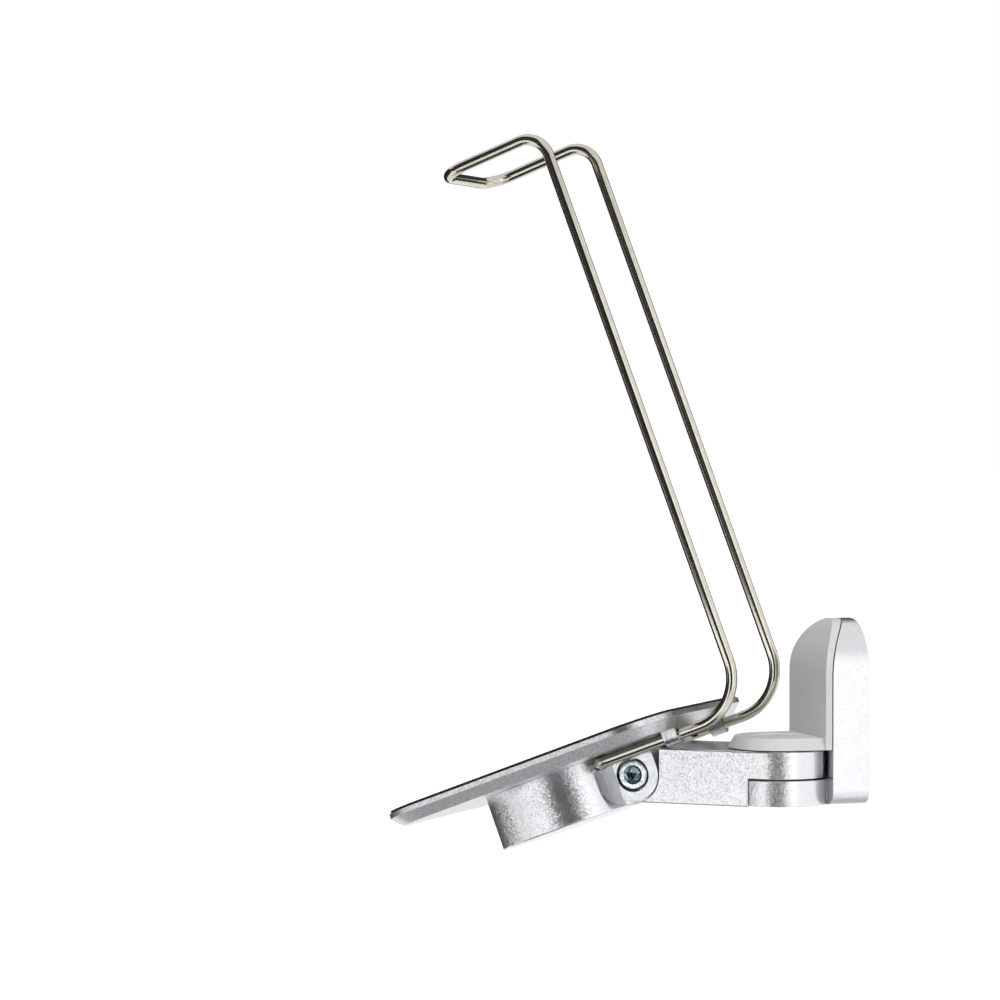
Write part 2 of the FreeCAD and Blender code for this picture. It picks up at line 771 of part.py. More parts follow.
def make_tilt_head():
    body = new_body("tilt_head")
    ear_radius = size("ear_radius")
    neck_bottom = -size("neck_drop")
    ears = new_sketch(body, "ear_view", "XZ_Plane")
    ear_end = chord(ear_radius, neck_bottom)
    draw_outline(ears, [
        (-ear_radius, head_top),
        (-ear_radius, ZERO, (ZERO, ZERO), 1),
        (ear_end, neck_bottom),
        (ear_end, head_top),
    ])
    pad(body, "ears", ears, size("ear_span"), both_ways=True)

    # Neck with its long lower edges rounded
    rounding = size("neck_rounding")
    reach = size("neck_reach")
    neck = new_sketch(body, "neck_view", "YZ_Plane")
    draw_outline(neck, [
        (-ear_outer, head_top),
        (-ear_outer, neck_bottom + rounding, (-ear_outer + rounding, neck_bottom + rounding), 1),
        (-ear_outer + rounding, neck_bottom),
        (ear_outer - rounding, neck_bottom, (ear_outer - rounding, neck_bottom + rounding), 1),
        (ear_outer, neck_bottom + rounding),
        (ear_outer, head_top),
    ])
    pad(body, "neck", neck, reach)

    # Both flanks bend inwards from the ears to the hub
    flank_start = size("flank_start")
    flank_radius = size("flank_radius")
    flank_end = ear_outer - flank_radius + chord(flank_radius, reach - flank_start)
    for side, name in ((1, "near"), (-1, "far")):
        flank = new_sketch(body, f"flank_{name}_view", "XY_Plane", neck_bottom - ear_radius)
        draw_outline(flank, [
            (flank_start, ear_outer * side, (flank_start, (ear_outer - flank_radius) * side), -side),
            (reach, flank_end * side),
            (reach, (ear_outer + overrun) * side),
            (flank_start, (ear_outer + overrun) * side),
        ])
        pocket(body, f"flank_{name}", flank, backwards=True)

    hub = new_sketch(body, "hub_view", "XY_Plane", -ear_radius)
    draw_circle(hub, size("hub_offset"), ZERO, size("hub_radius"))
    pad(body, "hub", hub, ear_radius + head_top)
    round_edges(body, "hub_rim", size("casting_edge"), lambda edge: level_edge(edge, -ear_radius))

    slot = new_sketch(body, "fork_slot_view", "XY_Plane", head_top)
    draw_outline(slot, [
        (-ear_radius - overrun, -ear_inner),
        (slot_end, -ear_inner),
        (slot_end, ear_inner),
        (-ear_radius - overrun, ear_inner),
    ])
    pocket(body, "fork_slot", slot)

    bore = new_sketch(body, "ear_bore_view", "XZ_Plane")
    draw_circle(bore, ZERO, ZERO, bolt_bore)
    pocket(body, "ear_bores", bore, size("ear_span") + overrun * 2, both_ways=True)
    seat = new_sketch(body, "ear_seat_view", "XZ_Plane", -ear_outer)
    draw_circle(seat, ZERO, ZERO, size("bolt_head_radius") + size("tilt_head_clearance"))
    pocket(body, "ear_seat", seat, ear_outer - tilt_seat, backwards=True)
    nut_pocket = new_sketch(body, "ear_nut_view", "XZ_Plane", ear_outer)
    draw_outline(nut_pocket, hexagon(nut_pocket_width))
    pocket(body, "ear_nut_pocket", nut_pocket, ear_outer - tilt_nut_seat)

    # Grooves in the top of the neck for the turned-in ends of the wire
    groove_radius = size("wire_radius") + size("wire_groove_clearance")
    entry = size("wire_entry")
    inner_end = size("wire_end") - size("wire_groove_clearance")
    for side, lift, backwards in (("near", -inner_end, False), ("far", inner_end, True)):
        groove = new_sketch(body, f"wire_groove_{side}_view", "XZ_Plane", lift)
        draw_outline(groove, [
            (entry - groove_radius, head_top + overrun),
            (entry - groove_radius, wire_height, (entry, wire_height), 1),
            (entry + groove_radius, wire_height),
            (entry + groove_radius, head_top + overrun),
        ])
        pocket(body, f"wire_groove_{side}", groove, ear_outer - inner_end, backwards=backwards)

    # Tapped holes for the screws of the base plate
    holes = new_sketch(body, "tapped_holes_view", "XY_Plane", head_top)
    for x, y in screw_spots():
        hole_radius = size("plate_screw_radius") + size("thread_clearance")
        draw_circle(holes, size("hub_offset") + x, y, hole_radius)
    depth = size("plate_screw_length") - size("base_thickness") + size("tapped_hole_margin")
    pocket(body, "tapped_holes", holes, depth)
    body.Placement = head_frame
    return body


def screw_spots():
    """Where the plate screws stand, measured from the hub's axis."""
    count = int(size("plate_screw_count").number)
    angles = [FULL_TURN * (number + 0.5) / count for number in range(count)]
    circle = size("plate_screw_circle")
    return [(circle * math.cos(math.radians(a)), circle * math.sin(math.radians(a))) for a in angles]


# Base plate and the pad on it, in a frame on the hub's axis

base_left = -size("base_length") / 2 - size("base_shift")
base_right = size("base_length") / 2 - size("base_shift")
base_half = size("base_width") / 2
clip_spot = size("clip_position") - size("hub_offset")


def make_base_plate():
    body = new_body("base_plate")
    plan = new_sketch(body, "base_plan", "XY_Plane")
    draw_outline(plan, rounded_rectangle(base_left, base_right, -base_half, base_half, size("base_corner")))
    pad(body, "base_slab", plan, size("base_thickness"))
    doc.recompute()
    slab = body.Tip
    rim = edge_names(slab, lambda edge: level_edge(edge, ZERO))
    bevel = body.newObject("PartDesign::Chamfer", "base_bevel")
    bevel.Base = (slab, rim)
    bevel.setExpression("Size", formula_of(size("base_chamfer")))
    doc.recompute()

    # Countersunk holes over the hub
    screw_radii = (
        size("plate_screw_radius") + size("thread_clearance"),
        size("plate_screw_head_radius") + size("thread_clearance"),
    )
    thickness = size("base_thickness")
    cut = countersunk_hole(
        body, "base_hole", screw_spots()[0], thickness, ZERO, screw_radii, size("plate_screw_sink")
    )
    doc.recompute()
    pattern = body.newObject("PartDesign::PolarPattern", "base_holes")
    pattern.Originals = [cut]
    upright = [feature for feature in body.Origin.OriginFeatures if feature.Role == "Z_Axis"][0]
    pattern.Axis = (upright, [""])
    pattern.Angle = FULL_TURN
    pattern.setExpression("Occurrences", formula_of(size("plate_screw_count")))
    body.Tip = pattern

    # Recesses for the feet of the clips, slots for their tails and tapped holes for their screws
    gap = size("clip_clearance")
    left = clip_spot - size("clip_width") / 2 - gap
    right = clip_spot + size("clip_width") / 2 + gap
    recesses = new_sketch(body, "clip_recess_view", "XY_Plane", thickness)
    slots = new_sketch(body, "clip_slot_view", "XY_Plane", thickness)
    tapped = new_sketch(body, "clip_hole_view", "XY_Plane", thickness)
    slot_start = size("wire_half_spacing") + hook_inside - gap
    for side in (1, -1):
        slot_end_y = (clip_outer_y + gap) * side
        draw_outline(recesses, rectangle(left, right, (clip_inner_y - gap) * side, slot_end_y))
        draw_outline(slots, rectangle(left, right, slot_start * side, slot_end_y))
        draw_circle(tapped, clip_spot, clip_screw_y * side, size("clip_screw_radius") + size("thread_clearance"))
    pocket(body, "clip_recesses", recesses, size("clip_strip") + size("clip_sink"))
    pocket(body, "clip_slots", slots)
    hole_depth = size("clip_sink") + size("clip_screw_length") + size("tapped_hole_margin")
    pocket(body, "clip_holes", tapped, hole_depth)
    body.Placement = placed(head_frame, size("hub_offset"), ZERO, head_top)
    return body


def make_base_pad():
    body = new_body("base_pad")
    inset = size("pad_inset")
    plan = new_sketch(body, "pad_plan", "XY_Plane")
    corners = rounded_rectangle(
        base_left + inset, base_right - inset, -base_half + inset, base_half - inset, size("base_corner") - inset
    )
    draw_outline(plan, corners)
    pad(body, "pad_sheet", plan, size("pad_thickness"))
    body.Placement = placed(head_frame, size("hub_offset"), ZERO, base_top)
    return body


# Fasteners

def make_socket_screw(label, frame, head_height, length):
    """A socket head screw: the seat of its head at the origin, its head along +z."""
    body = new_body(label)
    head = new_sketch(body, f"{label}_head_view", "XY_Plane")
    draw_circle(head, ZERO, ZERO, size("bolt_head_radius"))
    pad(body, f"{label}_head", head, head_height)
    round_edges(body, f"{label}_rim", size("head_rim"), lambda edge: level_edge(edge, head_height))
    shank = new_sketch(body, f"{label}_shank_view", "XY_Plane")
    draw_circle(shank, ZERO, ZERO, size("bolt_radius"))
    pad(body, f"{label}_shank", shank, length, backwards=True)
    socket = new_sketch(body, f"{label}_socket_view", "XY_Plane", head_height)
    draw_outline(socket, hexagon(size("key_width")))
    pocket(body, f"{label}_socket", socket, size("key_depth"))
    body.Placement = frame
    return body


def make_lock_nut(label, frame):
    """A locking nut: its bearing face at the origin, its collar along +z."""
    body = new_body(label)
    flats = new_sketch(body, f"{label}_flats_view", "XY_Plane")
    draw_outline(flats, hexagon(size("nut_width")))
    pad(body, f"{label}_flats", flats, size("nut_height"))
    collar = new_sketch(body, f"{label}_collar_view", "XY_Plane", size("nut_height"))
    draw_circle(collar, ZERO, ZERO, size("nut_collar_radius"))
    pad(body, f"{label}_collar", collar, size("nut_collar_height"))
    return bored(body, label, size("bolt_radius") + size("thread_clearance"), frame)


def make_plain_nut(label, frame):
    body = new_body(label)
    flats = new_sketch(body, f"{label}_flats_view", "XY_Plane")
    draw_outline(flats, hexagon(size("nut_width")))
    pad(body, f"{label}_flats", flats, size("nut_height"))
    return bored(body, label, size("bolt_radius") + size("thread_clearance"), frame)


def bored(body, label, radius, frame):
    """Cuts a hole along the body's own z axis and puts the body in its place."""
    bore = new_sketch(body, f"{label}_bore_view", "XY_Plane")
    draw_circle(bore, ZERO, ZERO, radius)
    pocket(body, f"{label}_bore", bore, both_ways=True)
    body.Placement = frame
    return body


def make_washer(label, radius, thickness, frame, slit=None):
    body = new_body(label)
    plan = new_sketch(body, f"{label}_plan", "XY_Plane")
    draw_circle(plan, ZERO, ZERO, radius)
    draw_circle(plan, ZERO, ZERO, washer_bore)
    pad(body, f"{label}_ring", plan, thickness)
    if slit is not None:
        gap = new_sketch(body, f"{label}_slit_view", "XZ_Plane", size("bolt_radius"))
        draw_outline(gap, [
            (-slit, -overrun),
            (ZERO, -overrun),
            (slit, thickness + overrun),
            (ZERO, thickness + overrun),
        ])
        pocket(body, f"{label}_slit", gap, radius, backwards=True)
    body.Placement = frame
    return body


def make_countersunk_screw(label, kind):
    """One countersunk screw, its top face at the origin, pointing down. The kind names its sizes."""
    radius = size(f"{kind}_radius")
    head_radius = size(f"{kind}_head_radius")
    length = size(f"{kind}_length")
    body = new_body(label)
    view = new_sketch(body, f"{label}_view", "XZ_Plane")
    draw_outline(view, [
        (ZERO, -length),
        (radius, -length),
        (radius, -(head_radius - radius)),
        (head_radius, ZERO),
        (ZERO, ZERO),
    ])
    turned(body, "Revolution", f"{label}_turning", view, "V_Axis")
    key = new_sketch(body, f"{label}_key_view", "XY_Plane")
    draw_outline(key, hexagon(size(f"{kind}_key")))
    pocket(body, f"{label}_key_cut", key, size(f"{kind}_key_depth"))
    return body


def make_group(label, pattern, spots, frame):
    """Copies of one fastener as a group of separate solids."""
    group = doc.addObject("Part::Feature", label)
    group.Label = label
    copies = []
    for x, y, z in spots:
        copy = pattern.Shape.copy()
        copy.translate(FreeCAD.Vector(number_of(x), number_of(y), number_of(z)))
        copies.append(copy)
    group.Shape = Part.makeCompound(copies)
    group.Placement = frame
    return group


# Wire clip: a strip hooked round the wire, its tail up through the base plate to a foot under the pad

def make_wire_clip(label, side):
    body = new_body(label)
    centre_y = size("wire_half_spacing") * side
    foot_end = clip_inner_y * side
    curl = size("clip_curl_angle")
    middle = (centre_y, wire_height)
    view = new_sketch(body, f"{label}_view", "YZ_Plane", size("clip_position"))
    draw_outline(view, [
        (clip_outer_y * side, clip_foot_top),
        (foot_end, clip_foot_top),
        (foot_end, clip_foot_under),
        (centre_y + hook_inside * side, clip_foot_under),
        (centre_y + hook_inside * side, wire_height, middle, -side),
        (centre_y - hook_inside * cosine(curl) * side, wire_height + hook_inside * sine(curl)),
        (centre_y - hook_outside * cosine(curl) * side, wire_height + hook_outside * sine(curl), middle, side),
        (centre_y + hook_outside * side, wire_height),
    ])
    pad(body, f"{label}_strip", view, size("clip_width"), both_ways=True)
    radii = (
        size("clip_screw_radius") + size("thread_clearance"),
        size("clip_screw_head_radius") + size("thread_clearance"),
    )
    spot = (size("clip_position"), clip_screw_y * side)
    countersunk_hole(body, f"{label}_hole", spot, clip_foot_top, clip_foot_under, radii)
    body.Placement = head_frame
    return body


# Retaining wire: two legs that rise behind the load and a crossbar over it

def bent_path(points, radii):
    """A wire through the points, each inner corner rounded to its own radius."""
    edges = []
    start = points[0]
    for number in range(1, len(points) - 1):
        corner = points[number]
        before = (points[number - 1] - corner).normalize()
        after = (points[number + 1] - corner).normalize()
        half_angle = before.getAngle(after) / 2
        reach = radii[number - 1] / math.tan(half_angle)
        enter = corner + before * reach
        leave = corner + after * reach
        toward = (before + after).normalize()
        centre = corner + toward * (radii[number - 1] / math.sin(half_angle))
        middle = centre - toward * radii[number - 1]
        edges.append(Part.makeLine(start, enter))
        edges.append(Part.Arc(enter, middle, leave).toShape())
        start = leave
    edges.append(Part.makeLine(start, points[-1]))
    return Part.Wire(edges)


def make_retaining_wire():
    spacing = size("wire_half_spacing").number
    low = wire_height.number
    high = low + size("wire_rise").number
    entry = size("wire_entry").number
    inner = size("wire_end").number
    leg = -size("wire_leg").number
    bar = leg + size("wire_crossbar").number
    half = [(entry, inner, low), (entry, spacing, low), (leg, spacing, low), (leg, spacing, high)]
    half.append((bar, spacing, high))
    route = [FreeCAD.Vector(*spot) for spot in half]
    route += [FreeCAD.Vector(x, -y, z) for x, y, z in reversed(half)]
    bends = ["wire_elbow_radius", "wire_foot_bend", "wire_top_bend", "wire_crossbar_bend"]
    radii = [size(name).number for name in bends]
    path = bent_path(route, radii + radii[::-1])
    section = Part.Wire([Part.makeCircle(size("wire_radius").number, route[0], Y_AXIS)])
    feature = doc.addObject("Part::Feature", "retaining_wire")
    feature.Label = "retaining_wire"
    feature.Shape = path.makePipeShell([section], True, False)
    feature.Placement = head_frame
    return feature


# All the pieces in their places

def make_all():
    upside_down = turn_about(X_AXIS, HALF_TURN)
    to_near_side = turn_about(X_AXIS, -QUARTER_TURN)
    to_far_side = turn_about(X_AXIS, QUARTER_TURN)
    washer_level = seat_floor + size("axial_clearance")
    spring_level = washer_level + size("washer_thickness")
    swivel_head_level = spring_level + size("spring_washer_thickness")
    swivel_length = swivel_head_level - lug_bottom - size("bolt_end_margin")
    tilt_length = tilt_seat + ear_outer - size("bolt_end_margin") * 2
    friction_thickness = size("lap_gap") - size("axial_clearance")
    washer_thickness = size("tilt_washer_thickness")
    nodes = [
        make_wall_plate(),
        make_wall_cover(),
        make_swivel_arm(),
        make_tilt_head(),
        make_base_plate(),
        make_base_pad(),
        make_socket_screw(
            "swivel_bolt", placed(wall_frame, z=swivel_head_level), size("swivel_head_height"), swivel_length
        ),
        make_washer(
            "swivel_spring_washer", size("spring_washer_radius"), size("spring_washer_thickness"),
            placed(wall_frame, z=spring_level), size("spring_washer_slit"),
        ),
        make_washer(
            "swivel_washer", size("washer_radius"), size("washer_thickness"), placed(wall_frame, z=washer_level)
        ),
        make_washer(
            "swivel_friction_washer", size("friction_washer_radius"), friction_thickness,
            placed(wall_frame, z=lug_top),
        ),
        make_plain_nut("swivel_nut", placed(wall_frame, z=nut_seat, turn=upside_down)),
        make_socket_screw(
            "tilt_bolt", placed(head_frame, y=tilt_seat, turn=to_near_side), size("tilt_head_height"), tilt_length
        ),
        make_lock_nut("tilt_nut", placed(head_frame, y=-tilt_nut_seat, turn=to_far_side)),
        make_washer(
            "tilt_washer_near", size("tilt_washer_radius"), washer_thickness,
            placed(head_frame, y=ear_inner - washer_thickness, turn=to_near_side),
        ),
        make_washer(
            "tilt_washer_far", size("tilt_washer_radius"), washer_thickness,
            placed(head_frame, y=washer_thickness - ear_inner, turn=to_far_side),
        ),
        make_wire_clip("wire_clip_near", 1),
        make_wire_clip("wire_clip_far", -1),
        make_retaining_wire(),
    ]
    plate_screw = make_countersunk_screw("plate_screw_pattern", "plate_screw")
    clip_screw = make_countersunk_screw("clip_screw_pattern", "clip_screw")
    doc.recompute()
    sunk_top = base_top - size("plate_screw_sink")
    plate_spots = [(size("hub_offset") + x, y, sunk_top) for x, y in screw_spots()]
    nodes.append(make_group("plate_screws", plate_screw, plate_spots, head_frame))
    clip_spots = [(size("clip_position"), clip_screw_y * side, clip_foot_top) for side in (1, -1)]
    nodes.append(make_group("clip_screws", clip_screw, clip_spots, head_frame))
    return nodes


def check(nodes):
    """Stops where anything failed to build, or a cut took nothing away."""
    for thing in doc.Objects:
        if "Invalid" in thing.State or "Error" in thing.State:
            raise RuntimeError(f"{thing.Name} failed to build")
        if thing.TypeId in ("PartDesign::Pocket", "PartDesign::Groove"):
            if thing.Shape.Volume >= thing.BaseFeature.Shape.Volume:
                raise RuntimeError(f"{thing.Name} cut nothing")
    for node in nodes:
        if node.Shape.isNull() or not node.Shape.isValid():
            raise RuntimeError(f"{node.Label} has no valid shape")


nodes = make_all()
doc.recompute()
check(nodes)
os.makedirs("parts", exist_ok=True)
for node in nodes:
    node.Shape.exportStep(f"parts/{node.Label}.step")
    print(f"{node.Label}: {len(node.Shape.Solids)} solids, {node.Shape.Volume:.1f} mm3")
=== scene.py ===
import json
import logging
import math
from dataclasses import dataclass, field
from enum import Enum
from typing import Sequence

import bmesh
import bpy
from mathutils import Matrix, Quaternion, Vector


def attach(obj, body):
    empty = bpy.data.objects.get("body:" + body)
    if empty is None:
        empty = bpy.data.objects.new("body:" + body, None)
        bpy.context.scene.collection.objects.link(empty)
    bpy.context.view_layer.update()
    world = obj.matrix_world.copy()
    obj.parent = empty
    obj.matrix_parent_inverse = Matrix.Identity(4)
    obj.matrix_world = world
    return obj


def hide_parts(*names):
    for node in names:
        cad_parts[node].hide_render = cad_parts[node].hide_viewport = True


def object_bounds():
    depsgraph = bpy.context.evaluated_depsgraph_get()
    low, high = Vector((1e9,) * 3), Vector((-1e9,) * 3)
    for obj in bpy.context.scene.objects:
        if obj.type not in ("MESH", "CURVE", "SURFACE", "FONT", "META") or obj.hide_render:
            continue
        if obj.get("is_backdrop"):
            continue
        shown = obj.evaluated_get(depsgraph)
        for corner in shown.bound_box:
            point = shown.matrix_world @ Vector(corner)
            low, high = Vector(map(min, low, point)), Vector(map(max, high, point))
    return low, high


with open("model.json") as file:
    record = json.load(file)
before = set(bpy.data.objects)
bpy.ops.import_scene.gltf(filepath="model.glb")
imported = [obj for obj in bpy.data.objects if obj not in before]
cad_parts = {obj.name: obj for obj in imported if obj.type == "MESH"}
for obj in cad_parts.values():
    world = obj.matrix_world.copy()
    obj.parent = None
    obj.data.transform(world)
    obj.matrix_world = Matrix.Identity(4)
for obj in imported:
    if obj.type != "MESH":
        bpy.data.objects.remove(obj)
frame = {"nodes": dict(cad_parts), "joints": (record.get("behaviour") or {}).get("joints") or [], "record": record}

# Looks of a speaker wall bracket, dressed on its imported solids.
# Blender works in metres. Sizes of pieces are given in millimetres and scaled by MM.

LOG = logging.getLogger("bracket")
MM = 0.001
SENSOR_WIDTH = 36.0
WHITE = "FFFFFF"
FULL_TURN = 2 * math.pi
# The sRGB curve: a straight foot up to the knee, and a power above it
SRGB_KNEE = 0.04045
SRGB_FOOT = 12.92
SRGB_LIFT = 0.055
SRGB_SCALE = 1.055
SRGB_POWER = 2.4
# Samples of each softened edge in a render
EDGE_SAMPLES = 6
# An edge between two faces stays sharp above this angle, in degrees
SHARP_DEGREES = 32
# Numbers of the two finishes of a piece that has two
FIRST_FINISH = 0
SECOND_FINISH = 1
# Mean of a cell's random colour, taken off it so that flakes lean to all sides alike
CELL_MEAN = (0.5, 0.5, 0.5)
# Fineness of a mottle, and where its shade ends and its full colour begins
MOTTLE_DETAIL = 4.0
MOTTLE_ROUGHNESS = 0.62
MOTTLE_SHADE = 0.36
MOTTLE_FULL = 0.64


class Body(Enum):
    """The rigid bodies of the bracket."""

    WALL_MOUNT = "wall_mount"
    ARM = "arm"
    HEAD = "head"


class Slot(Enum):
    """The material slots of the record."""

    CASTING = "silver_casting"
    COVER = "cover_plastic"
    PLATE = "satin_plate"
    PAD = "black_pad"
    WIRE = "polished_wire"
    CLIP = "clip_steel"
    SCREW = "zinc_screw"
    NYLON = "friction_nylon"


def linear(colour: str) -> tuple[float, float, float, float]:
    """Turns an sRGB colour into linear light.

    Args:
        colour: The colour as six hex digits.

    Returns:
        Red, green and blue in linear light, and full opacity.
    """
    channels = [int(colour[start:start + 2], 16) / 255 for start in (0, 2, 4)]
    values = [
        c / SRGB_FOOT if c <= SRGB_KNEE else ((c + SRGB_LIFT) / SRGB_SCALE) ** SRGB_POWER for c in channels
    ]
    return values[0], values[1], values[2], 1.0


def add_node(
    tree: bpy.types.NodeTree, kind: str, settings: dict[str, object] | None = None, **links: object
) -> bpy.types.Node:
    """Adds a node with its settings and its inputs.

    Args:
        tree: The node tree that the node goes into.
        kind: Blender's name of the node type.
        settings: Properties of the node itself.
        **links: Inputs by name, with underscores for spaces, or in_0, in_1 and so on by number.
            A socket is linked and a value is set.

    Returns:
        The new node.
    """
    node = tree.nodes.new(kind)
    for name, value in (settings or {}).items():
        setattr(node, name, value)
    for name, value in links.items():
        key = int(name[3:]) if name.startswith("in_") else name.replace("_", " ")
        socket = node.inputs[key]
        if isinstance(value, bpy.types.NodeSocket):
            tree.links.new(value, socket)
        else:
            socket.default_value = value
    return node


def new_material(name: str) -> tuple[bpy.types.Material, bpy.types.NodeTree, bpy.types.Node]:
    """Makes a material with an empty tree and its output.

    Args:
        name: The material's name.

    Returns:
        The material, its node tree and its output node.
    """
    material = bpy.data.materials.new(name)
    material.use_nodes = True
    tree = material.node_tree
    tree.nodes.clear()
    return material, tree, tree.nodes.new("ShaderNodeOutputMaterial")


def set_ramp(node: bpy.types.Node, stops: Sequence[tuple[float, str]]) -> bpy.types.NodeSocket:
    """Sets the stops of a colour ramp.

    Args:
        node: The ramp node.
        stops: Positions and sRGB colours, in order.

    Returns:
        The ramp's colour socket.
    """
    elements = node.color_ramp.elements
    while len(elements) < len(stops):
        # Any place between the two ends will do, because the loop below sets it
        elements.new(0.5)
    for element, (position, colour) in zip(elements, stops):
        element.position = position
        element.color = linear(colour)
    return node.outputs["Color"]


# Finishes

@dataclass(frozen=True)
class SilverPaint:
    """Zinc die casting sprayed with silver paint."""

    name: str = "silver_sprayed_die_casting"
    colour: str = "DCDDDF"
    dark_flake: str = "D1D2D5"
    # Share of the flakes that are darker than the paint, some by little and some by more
    dark_share: float = 0.35
    # A flake is about 0.05 mm long, too fine to show, so it is drawn several times as coarse
    flake_mm: float = 0.32
    # How far a flake's own direction leans off that of the surface
    flake_lean: float = 0.12
    # Radius that a cast edge looks rounded by
    edge_mm: float = 0.3
    roughness: float = 0.28

    def make(self) -> bpy.types.Material:
        """Builds the paint: flakes that each lean their own way sparkle where the light falls off.

        Returns:
            The material.
        """
        material, tree, output = new_material(self.name)
        place = add_node(tree, "ShaderNodeTexCoord")
        flakes = add_node(
            tree, "ShaderNodeTexVoronoi", {"feature": "F1"},
            Vector=place.outputs["Object"], Scale=1 / (self.flake_mm * MM),
        )
        centred = add_node(
            tree, "ShaderNodeVectorMath", {"operation": "SUBTRACT"},
            in_0=flakes.outputs["Color"], in_1=CELL_MEAN,
        )
        lean = add_node(
            tree, "ShaderNodeVectorMath", {"operation": "SCALE"}, in_0=centred.outputs[0], Scale=self.flake_lean
        )
        soft_edge = add_node(tree, "ShaderNodeBevel", {"samples": EDGE_SAMPLES}, Radius=self.edge_mm * MM)
        leaning = add_node(
            tree, "ShaderNodeVectorMath", {"operation": "ADD"}, in_0=soft_edge.outputs[0], in_1=lean.outputs[0]
        )
        normal = add_node(tree, "ShaderNodeVectorMath", {"operation": "NORMALIZE"}, in_0=leaning.outputs[0])
        parts = add_node(tree, "ShaderNodeSeparateColor", Color=flakes.outputs["Color"])
        colour = set_ramp(
            add_node(tree, "ShaderNodeValToRGB", Fac=parts.outputs[1]),
            [(0.0, self.dark_flake), (self.dark_share, self.colour), (1.0, self.colour)],
        )
        shader = add_node(
            tree, "ShaderNodeBsdfPrincipled",
            Base_Color=colour, Metallic=1.0, Roughness=self.roughness, Normal=normal.outputs[0],
        )
        tree.links.new(shader.outputs[0], output.inputs[0])
        return material


@dataclass(frozen=True)
class Mottled:
    """A surface with a fine mottle in its colour and a slight relief."""

    name: str
    colour: str
    shade: str
    # Size of a patch of the mottle
    grain_mm: float
    roughness: float
    metallic: float = 1.0
    # Only a surface that isn't metal takes it
    ior: float = 1.5
    # Depth of the relief, and how much of it is shown
    relief_mm: float = 0.03
    strength: float = 0.1
    # Radius that an edge looks rounded by
    edge_mm: float = 0.15
    # How much longer the grain is along the head's x, y and z
    stretch: tuple[float, float, float] = (1.0, 1.0, 1.0)

    def make(self) -> bpy.types.Material:
        """Builds the surface from a colour, a darker shade of it, a relief and softened edges.

        Returns:
            The material.
        """
        material, tree, output = new_material(self.name)
        place = add_node(tree, "ShaderNodeTexCoord")
        axes = head_axes()
        turned = add_node(
            tree, "ShaderNodeMapping", Vector=place.outputs["Object"],
            Rotation=Matrix((axes.x, axes.y, axes.z)).to_euler(),
        )
        drawn = add_node(
            tree, "ShaderNodeVectorMath", {"operation": "DIVIDE"}, in_0=turned.outputs[0], in_1=self.stretch
        )
        noise = add_node(
            tree, "ShaderNodeTexNoise",
            Vector=drawn.outputs[0], Scale=1 / (self.grain_mm * MM), Detail=MOTTLE_DETAIL,
            Roughness=MOTTLE_ROUGHNESS,
        )
        colour = set_ramp(
            add_node(tree, "ShaderNodeValToRGB", Fac=noise.outputs[0]),
            [(MOTTLE_SHADE, self.shade), (MOTTLE_FULL, self.colour)],
        )
        soft_edge = add_node(tree, "ShaderNodeBevel", {"samples": EDGE_SAMPLES}, Radius=self.edge_mm * MM)
        bump = add_node(
            tree, "ShaderNodeBump", Strength=self.strength, Distance=self.relief_mm * MM,
            Height=noise.outputs[0], Normal=soft_edge.outputs[0],
        )
        shader = add_node(
            tree, "ShaderNodeBsdfPrincipled",
            Base_Color=colour, Metallic=self.metallic, Roughness=self.roughness, Normal=bump.outputs[0],
        )
        if self.metallic == 0.0:
            shader.inputs["IOR"].default_value = self.ior
        tree.links.new(shader.outputs[0], output.inputs[0])
        return material


FINISHES = {
    # Silver paint over zinc: near white where it faces a lamp, with a sparkle of flakes in the half tones
    Slot.CASTING: SilverPaint(),
    # Light grey ABS from a spark-eroded mould: a soft even sheen with hardly any texture. The mould's pits are
    # about 0.05 mm wide, too fine to show, so the mottle is drawn ten times as coarse
    Slot.COVER: Mottled(
        "light_grey_moulded_abs", "D2D2D0", "CACAC8", grain_mm=0.5, roughness=0.4, metallic=0.0, ior=1.53,
        relief_mm=0.04, strength=0.08,
    ),
    # Aluminium plate, bead blasted and clear anodised: a bright satin with a mottled sparkle. A bead leaves a
    # dimple about 0.1 mm wide, too fine to show, so it is drawn six times as coarse
    Slot.PLATE: Mottled(
        "bead_blasted_aluminium", "D6D7D9", "B4B5B8", grain_mm=0.6, roughness=0.3, relief_mm=0.05, strength=0.25,
    ),
    # Foam rubber sheet: deep black, matt, with cells of about half a millimetre
    Slot.PAD: Mottled(
        "black_foam_rubber", "121213", "0A0A0B", grain_mm=0.6, roughness=0.75, metallic=0.0, ior=1.5,
        relief_mm=0.05, strength=0.2,
    ),
    # Drawn and polished stainless wire: sharp warm reflections. Its draw lines are too fine to see, so only a
    # slow change of tone over it is drawn
    Slot.WIRE: Mottled(
        "polished_stainless_wire", "CCC8BC", "C0BCB0", grain_mm=2.5, roughness=0.1, strength=0.03,
    ),
    # Rolled spring steel: bright, with fine bright and dull lines along the strip. A line is about 0.05 mm wide,
    # too fine to show, so it is drawn four times as coarse
    Slot.CLIP: Mottled(
        "rolled_spring_steel", "EAEAEA", "A0A1A3", grain_mm=0.2, roughness=0.3, relief_mm=0.05, strength=0.35,
        stretch=(1.0, 14.0, 14.0),
    ),
    # Bright zinc plate with a blue passivation: glossy, slightly blue, in patches of about a millimetre
    Slot.SCREW: Mottled("blue_zinc_plated_steel", "DDE2E4", "8D979C", grain_mm=1.3, roughness=0.15),
    # Undyed nylon: milky white, waxy, with faint clouds of about a millimetre
    Slot.NYLON: Mottled(
        "natural_nylon", "DAD8CF", "CECCC3", grain_mm=1.0, roughness=0.45, metallic=0.0, ior=1.53,
    ),
}
